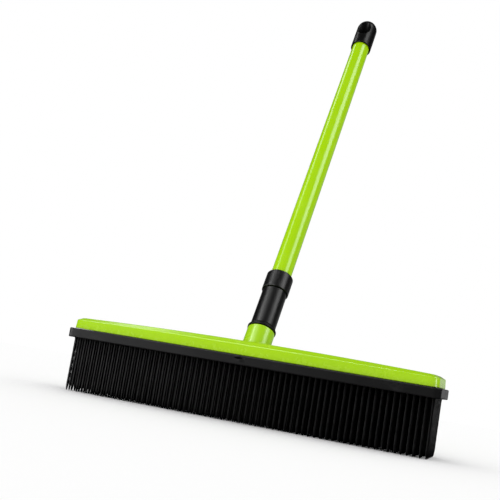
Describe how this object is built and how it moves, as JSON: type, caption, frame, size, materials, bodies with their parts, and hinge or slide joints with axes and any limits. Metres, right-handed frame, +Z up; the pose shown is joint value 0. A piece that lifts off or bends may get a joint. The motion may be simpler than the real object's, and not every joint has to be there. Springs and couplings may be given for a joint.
{
  "type": "push broom",
  "caption": "Push broom with a one-piece rubber bristle block under a plastic head cover and a leaning twist-lock telescopic pole with a hang cap.",
  "frame": {"origin": "middle of the plane that the bristle tips stand on", "axes": "+Z up, +X along the broom head to its right end, +Y to the back, the way the pole leans"},
  "size_m": [0.331, 0.2649, 0.4632],
  "materials": {
    "bristle_rubber": "satin black thermoplastic rubber",
    "plate_plastic": "moulded black plastic",
    "cover_plastic": "glossy lime green",
    "screw_steel": "zinc-plated steel",
    "seat_rubber": "black rubber",
    "coupling_plastic": "satin black",
    "inner_tube_steel": "drawn steel tube",
    "bush_plastic": "natural white plastic",
    "outer_tube_paint": "glossy lime green paint on a steel tube",
    "cap_plastic": "satin black"
  },
  "bodies": {
    "head": {"bristle_block": "bristle_rubber", "base_plate": "plate_plastic", "head_cover": "cover_plastic", "cover_screw_front_left": "screw_steel", "cover_screw_front_right": "screw_steel", "cover_screw_back_left": "screw_steel", "cover_screw_back_right": "screw_steel"},
    "seat_ring": {"seat_ring": "seat_rubber"},
    "lower_pole": {"pole_adapter": "coupling_plastic", "inner_tube": "inner_tube_steel", "inner_tube_plug": "plate_plastic"},
    "guide_bush": {"guide_bush": "bush_plastic"},
    "upper_pole": {"lock_collar": "coupling_plastic", "outer_tube": "outer_tube_paint", "hang_cap": "cap_plastic"}
  },
  "joints": [
    {"name": "thread_travel", "type": "slide", "parent": "head", "child": "seat_ring", "axis": [0, 0.4879, 0.8729], "range_m": [0, 0.0175]},
    {"name": "thread_turn", "type": "hinge", "parent": "seat_ring", "child": "lower_pole", "pos_m": [0, 0, 0.0555], "axis": [0, 0.4879, 0.8729], "range_deg": [0, 1260]},
    {"name": "pole_extend", "type": "slide", "parent": "lower_pole", "child": "guide_bush", "axis": [0, 0.4879, 0.8729], "range_m": [0, 0.28]},
    {"name": "pole_twist", "type": "hinge", "parent": "guide_bush", "child": "upper_pole", "pos_m": [0, 0, 0.0555], "axis": [0, 0.4879, 0.8729], "range_deg": [0, 90]}
  ],
  "couplings": [
    {"joint": "thread_turn", "follows": "thread_travel", "rad_per_m": 1256.6}
  ]
}
